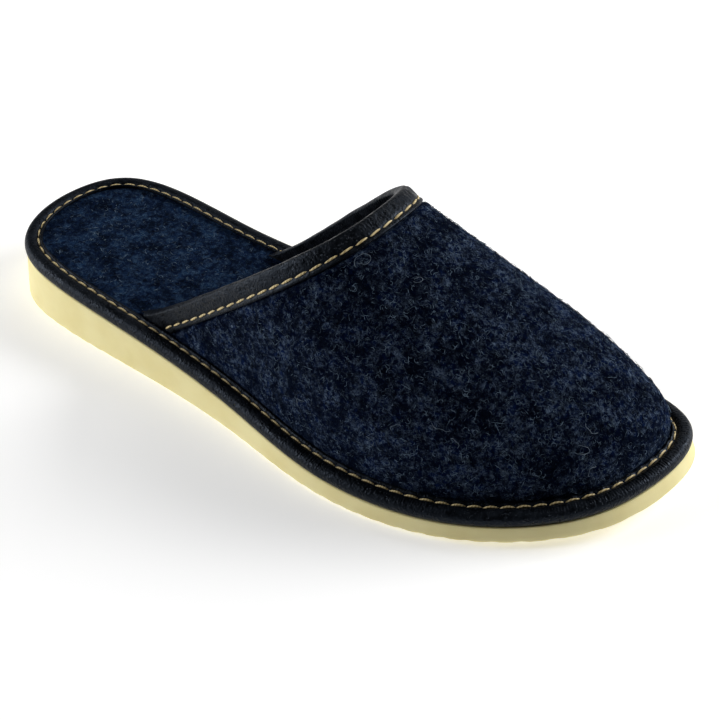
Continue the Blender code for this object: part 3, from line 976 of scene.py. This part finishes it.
def node_tree(name, **sizes):
    """A Geometry Nodes tree with named inputs for its sizes, each of a kind, and a material."""
    tree = bpy.data.node_groups.new(name, "GeometryNodeTree")
    for label, kind in {"Geometry": "Geometry", **sizes, "Material": "Material"}.items():
        tree.interface.new_socket(label, in_out="INPUT", socket_type="NodeSocket" + kind)
    tree.interface.new_socket("Geometry", in_out="OUTPUT", socket_type="NodeSocketGeometry")
    return tree, add(tree, "NodeGroupInput").outputs


def end_tree(tree, geometry, given):
    """The tree's end: real meshes with their material."""
    real = add(tree, "GeometryNodeRealizeInstances", {"Geometry": geometry})
    dressed = add(tree, "GeometryNodeSetMaterial", {
        "Geometry": real, "Material": given["Material"]})
    add(tree, "NodeGroupOutput", {"Geometry": dressed})
    return tree


def made_by(tree, name, mesh, **values):
    """The plain mesh that a tree makes of a source mesh, as a piece."""
    source = put(name + "_source", mesh)
    modifier = source.modifiers.new("made", "NODES")
    modifier.node_group = tree
    for item in tree.interface.items_tree:
        if item.name in values:
            modifier[item.identifier] = values[item.name]
    bpy.context.view_layer.update()
    made = source.evaluated_get(bpy.context.evaluated_depsgraph_get())
    mesh = bpy.data.meshes.new_from_object(made)
    mesh.name = name
    mesh.shade_smooth()
    bpy.data.objects.remove(source, do_unlink=True)
    return put(name, mesh)


def stitch_tree():
    """Stitches: a short arched thread, thinner where it dips in, at each point of a seam."""
    tree, given = node_tree("stitching", Length="Float", Width="Float", Lift="Float", Slant="Float")
    half = add(tree, "Math", {0: given["Length"], 1: 0.5}, operation="MULTIPLY")
    back = add(tree, "Math", {0: half, 1: -1.0}, operation="MULTIPLY")
    dip = add(tree, "Math", {0: given["Width"], 1: -0.9}, operation="MULTIPLY")
    arch = add(tree, "GeometryNodeCurveQuadraticBezier", {
        "Resolution": 8,
        "Start": add(tree, "CombineXYZ", {"X": back, "Z": dip}),
        "Middle": add(tree, "CombineXYZ", {"Z": given["Lift"]}),
        "End": add(tree, "CombineXYZ", {"X": half, "Z": dip}),
    })
    fat = add(tree, "GeometryNodeSplineParameter").outputs["Factor"]
    for operation, by in (
        ("MULTIPLY", math.pi), ("SINE", 0.0), ("POWER", 0.5), ("MULTIPLY", 0.55), ("ADD", 0.45),
    ):
        fat = add(tree, "Math", {0: fat, 1: by}, operation=operation)
    radius = add(tree, "Math", {0: given["Width"], 1: 0.5}, operation="MULTIPLY")
    profile = add(tree, "GeometryNodeCurvePrimitiveCircle", {
        "Resolution": 8, "Radius": radius}, mode="RADIUS")
    thread = add(tree, "GeometryNodeCurveToMesh", {
        "Curve": arch, "Profile Curve": profile, "Scale": fat, "Fill Caps": True})
    along, up = [
        add(tree, "GeometryNodeInputNamedAttribute", {"Name": name}, data_type="FLOAT_VECTOR")
        for name in ("along", "up")]
    turned = add(tree, "FunctionNodeAlignRotationToVector", {"Vector": along}, axis="X")
    turned = add(tree, "FunctionNodeAlignRotationToVector", {
        "Rotation": turned, "Vector": up}, axis="Z", pivot_axis="X")
    lean = add(tree, "CombineXYZ", {"Z": given["Slant"]})
    turned = add(tree, "FunctionNodeRotateRotation", {
        "Rotation": turned, "Rotate By": lean}, rotation_space="LOCAL")
    placed = add(tree, "GeometryNodeInstanceOnPoints", {
        "Points": given["Geometry"], "Instance": thread, "Rotation": turned})
    return end_tree(tree, placed, given)


def sewn(tree, name, points, along, up, material, **sizes):
    """A seam, from bare points with the seam's direction and the surface's normal at each."""
    mesh = plain_mesh(name + "_seam", points)
    for label, values in (("along", along), ("up", up)):
        layer = mesh.attributes.new(label, "FLOAT_VECTOR", "POINT")
        layer.data.foreach_set("vector", np.asarray(values, np.float32).ravel())
    return made_by(tree, name, mesh, Material=material, Width=THREAD_WIDTH, **sizes)


def build_rand_stitches(tree, material):
    """The seam all round the rand, in its groove."""
    base, into = even_outline(1)
    height = CLEARANCE + 0.88 * (RAND_HEIGHT - CLEARANCE)
    points = on_sole(base + into * rand_seam(base[:, :1]), height)
    along = unit(np.roll(points, -1, 0) - np.roll(points, 1, 0))
    up = unit(np.cross(along, np.cross((0.0, 0.0, 1.0), along)))
    return sewn(tree, "rand_stitches", points, along, up, material,
                Length=RAND_STITCH_LENGTH, Lift=0.0005, Slant=math.radians(3))


def build_collar_stitches(tree, name, surface, side, sink, material):
    """The seam along the collar binding, on its outer or its inner leaf."""
    angles = collar_columns(2)[0][1::2]
    points, normal = on_surface(surface, COLLAR_SEAM, angles)
    up = normal * side
    points = points + up * (CLEARANCE - sink + 0.80 * BINDING_LEATHER)
    before = lifted(surface, COLLAR_SEAM, angles - STEP_SHARE)
    along = unit(lifted(surface, COLLAR_SEAM, angles + STEP_SHARE) - before)
    return sewn(tree, name, points, along, up, material,
                Length=COLLAR_STITCH_LENGTH, Lift=0.0006, Slant=math.radians(5))


# Fibre curls. Columns: turns, start and end radius and rise in metres.
CURLS = (
    (0.35, 0.0019, 0.0012, 0.0003),
    (0.55, 0.0011, 0.0007, 0.0003),
    (0.80, 0.0007, 0.0011, 0.0002),
    (0.22, 0.0032, 0.0024, 0.0003),
    (0.95, 0.0005, 0.0003, 0.0004),
    (0.30, 0.0009, 0.0014, 0.0002),
)


def fibre_tree():
    """Curled wool fibres that lie on a felt face, at random places and turns."""
    tree, given = node_tree("fibre_nap", Density="Float", Radius="Float", Seed="Int")
    seed = given["Seed"]
    spread = add(tree, "GeometryNodeDistributePointsOnFaces", {
        "Mesh": given["Geometry"], "Density": given["Density"], "Seed": seed}).outputs
    profile = add(tree, "GeometryNodeCurvePrimitiveCircle", {
        "Resolution": 3, "Radius": given["Radius"]}, mode="RADIUS")
    kinds = add(tree, "GeometryNodeJoinGeometry")
    for turns, start, end, rise in CURLS:
        curl = add(tree, "GeometryNodeCurveSpiral", {
            "Resolution": 8, "Rotations": turns,
            "Start Radius": start, "End Radius": end, "Height": rise})
        curl = add(tree, "GeometryNodeResampleCurve", {"Curve": curl, "Count": 6})
        solid = add(tree, "GeometryNodeCurveToMesh", {
            "Curve": curl, "Profile Curve": profile, "Fill Caps": True})
        wire(tree, kinds, {0: add(tree, "GeometryNodeGeometryToInstance", {"Geometry": solid})})
    spin = add(tree, "FunctionNodeRandomValue", {
        0: (-0.1, -0.1, -math.pi), 1: (0.1, 0.1, math.pi), "Seed": seed},
        data_type="FLOAT_VECTOR")
    turned = add(tree, "FunctionNodeRotateRotation", {
        "Rotation": spread["Rotation"], "Rotate By": spin}, rotation_space="LOCAL")
    grown = add(tree, "FunctionNodeRandomValue", {2: 0.5, 3: 1.3, "Seed": seed}, data_type="FLOAT")
    picked = add(tree, "FunctionNodeRandomValue", {
        4: 0, 5: len(CURLS) - 1, "Seed": seed}, data_type="INT")
    placed = add(tree, "GeometryNodeInstanceOnPoints", {
        "Points": spread["Points"], "Instance": kinds, "Pick Instance": True,
        "Instance Index": picked.outputs[2], "Rotation": turned, "Scale": grown.outputs[1]})
    return end_tree(tree, placed, given)


def build_vamp_fibres(tree, material):
    """The curled fibres on the felt vamp, which end short of the rand."""
    grid = shell_grid(0.00015, angle_steps(80, 0.04), 60, BINDING_WIDTH + 0.0015)[:-3, ::-1]
    kept = (grid[..., 2] - footbed_top(grid[..., 0]) > 0.003).ravel()
    faces = [face for face in quads(numbered(grid)) if kept[face].all()]
    return made_by(tree, "vamp_fibres", plain_mesh("vamp_face", grid, faces),
                   Material=material, Density=230000.0, Radius=0.000075, Seed=SEED)


def build_footbed_fibres(tree, material):
    """The shorter nap on the footbed, rooted just under its face."""
    grid = on_sole(ladder_grid(RAND_WIDTH + 0.0008, 40)[6:150], FOOTBED_THICKNESS - 0.0001)
    mesh = plain_mesh("footbed_face", grid, quads(numbered(grid)))
    return made_by(tree, "footbed_fibres", mesh,
                   Material=material, Density=160000.0, Radius=0.000065, Seed=SEED + 5)


# Loose hairs that catch the eye on the vamp. Columns: share of the way back from the toe tip,
# angle over the foot, heading in degrees, length in metres, turns that it curls through.
STRAY_HAIRS = (
    (0.549, 1.192, 0, 0.0170, 1.0),
    (0.467, 1.354, 60, 0.0080, 0.9),
    (0.335, 0.518, 205, 0.0080, -0.15),
    (0.306, 0.462, 150, 0.0055, 0.35),
    (0.403, 0.392, 80, 0.0060, 0.3),
    (0.128, 0.863, 110, 0.0110, 0.8),
    (0.096, 0.552, 20, 0.0060, 0.4),
    (0.141, 1.156, 240, 0.0070, -0.3),
    (0.438, 0.220, 130, 0.0060, 0.5),
    (0.585, 0.175, 60, 0.0070, 0.4),
)
HAIR_RADIUS = 0.00009
HAIR_LIFT = 0.0003
HAIR_STEPS = 26
HAIR_SIDES = 5
HAIR_SWAY = 0.4
HAIR_KINK = 0.15


def build_stray_hairs(material):
    """A few longer hairs and loops that lie loose on the vamp."""
    surface = shell_surface(0)
    steps = np.linspace(0, 1, HAIR_STEPS)
    step = np.array([STEP_SHARE, 0.0])
    around = (np.arange(HAIR_SIDES) * 2 * math.pi / HAIR_SIDES)[:, None]
    numbers = np.arange(HAIR_STEPS * HAIR_SIDES).reshape(HAIR_STEPS, HAIR_SIDES)
    points, faces = [], []
    for share, angle, heading, length, turns in STRAY_HAIRS:
        turned = math.radians(heading) + 2 * math.pi * turns * steps
        turned += HAIR_SWAY * np.sin(2 * math.pi * (1.7 * steps + 9 * share))
        turned += HAIR_KINK * np.sin(31 * steps + heading)
        reach = np.cumsum([np.cos(turned), np.sin(turned)], axis=1) * length / HAIR_STEPS
        reach -= reach.mean(axis=1, keepdims=True)
        apart = surface(share + step, angle + step[::-1]) - surface(share, angle)
        rates = np.linalg.norm(apart, axis=1, keepdims=True) / STEP_SHARE
        shares, angles = np.array([[share], [angle]]) + reach / rates
        line = surface(shares, angles)
        ahead = surface(shares - STEP_SHARE, angles) - line
        normal = unit(np.cross(ahead, surface(shares, angles + STEP_SHARE) - line))
        line = line + normal * (HAIR_LIFT * (1 + np.sin(math.pi * steps)))[:, None]
        side = np.cross(unit(np.gradient(line, axis=0)), normal)
        rings = np.cos(around) * side[:, None] + np.sin(around) * normal[:, None]
        points.append(line[:, None] + HAIR_RADIUS * rings)
        faces += quads(numbers, closed=True) + numbers[[0, -1]].tolist()
        numbers = numbers + numbers.size
    return new_piece("stray_hairs", np.array(points), faces, material)


# Stage

LIT_POINT = (0, 0, 0.03)


def build_floor():
    """A plain pale floor, well past the camera's view, that glows a little to stay white."""
    material, *_ = start_material(
        "painted_white_floor", Roughness=0.9, Specular_IOR_Level=0.1, Base_Color="#F2F2F2",
        Emission_Color="#FFFFFF", Emission_Strength=0.40)
    mesh = bpy.data.meshes.new("floor")
    side = 4.0
    corners = [(-side, -side, 0), (side, -side, 0), (side, side, 0), (-side, side, 0)]
    mesh.from_pydata(corners, [], [(0, 1, 2, 3)])
    mesh.materials.append(material)
    floor = put("floor", mesh)


def build_light(name, place, size, power):
    """A soft square light that faces the slipper."""
    light = bpy.data.lights.new(name, "AREA")
    light.shape = "SQUARE"
    light.size = size
    light.energy = power
    lamp = put(name, light)
    lamp.location = place
    lamp.rotation_euler = (Vector(LIT_POINT) - lamp.location).to_track_quat("-Z", "Y").to_euler()


def build_world(strength):
    """Even soft light from all round."""
    world = bpy.data.worlds.new("studio")
    world.use_nodes = True
    tree = world.node_tree
    wire(tree, tree.nodes["Background"], {"Color": "#FFFFFF", "Strength": strength})
    bpy.context.scene.world = world


def build_camera():
    """The photo's view of the slipper."""
    azimuth, elevation, roll = np.radians((CAMERA_AZIMUTH, CAMERA_ELEVATION, CAMERA_ROLL))
    level = np.cos(elevation)
    towards = Vector((np.sin(azimuth) * level, -np.cos(azimuth) * level, np.sin(elevation)))
    place = Vector(CAMERA_TARGET) + Vector(PLACE) + towards * CAMERA_DISTANCE
    turned = towards.to_track_quat("Z", "Y").to_matrix() @ Matrix.Rotation(roll, 3, "Z")
    camera = bpy.data.cameras.new("camera")
    camera.sensor_width = SENSOR_MM
    camera.lens = CAMERA_FOCAL_PIXELS / FRAME_PIXELS * SENSOR_MM
    camera.clip_start = 0.01
    eye = put("camera", camera)
    eye.matrix_world = Matrix.Translation(place) @ turned.to_4x4()
    bpy.context.scene.camera = eye


def dress():
    """All pieces with their materials, each riding on the one body."""
    vamp_felt = wool_felt("boiled_wool_felt_navy", "#00020E", "#00051A", "#071738", "#5E6E82", 0.9)
    footbed_felt = wool_felt(
        "needled_wool_felt_blue", "#01040E", "#08142B", "#182D48", "#4C647C", 0.6)
    leather = calf_leather("calf_leather_black", "#030406", "#0A0D12")
    foam = moulded_foam("moulded_eva_foam_cream", "#EFE4AC", "#E9DCA0")
    thread = sewing_thread("polyester_thread_beige", "#E2CF9E", "#B29C6A")
    lining = lining_cloth("tricot_lining_black", "#07080A", "#101215")
    hair = wool_fibre("loose_wool_hair_grey", "#55616F", "#7D8996")
    fibre = wool_fibre("loose_wool_fibre", "#020818", "#6C8094")

    stitching, nap = stitch_tree(), fibre_tree()
    outer, inner = shell_surface(0), shell_surface(UPPER_WALL)
    made = (
        (build_sole(foam), "sole_foam", "outsole"),
        (build_footbed(footbed_felt), "footbed_felt", "insole"),
        (build_rand(leather), "leather", "rand"),
        (build_vamp(vamp_felt), "felt", "upper"),
        (build_lining(lining), "lining", None),
        (build_binding(leather), "leather", "collar_binding"),
        (build_rand_stitches(stitching, thread), "thread", None),
        (build_collar_stitches(stitching, "collar_stitches", outer, 1, BINDING_SINK, thread),
         "thread", None),
        (build_collar_stitches(stitching, "collar_stitches_inside", inner, -1, 0, thread),
         "thread", None),
        (build_vamp_fibres(nap, fibre), "felt", None),
        (build_footbed_fibres(nap, fibre), "footbed_felt", None),
        (build_stray_hairs(hair), "felt", None),
    )
    for piece, slot, node in made:
        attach(piece, "root")
        if node:
            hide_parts(node)


build_camera()
dress()
build_floor()
build_world(0.04)
build_light("left_softbox", (-1.05, -0.62, 0.48), 0.8, 13.7)
build_light("right_softbox", (0.80, 0.98, 0.66), 0.8, 21)
build_light("back_softbox", (-0.30, 1.10, 0.90), 0.9, 3)
bpy.context.scene.view_settings.view_transform = "Standard"
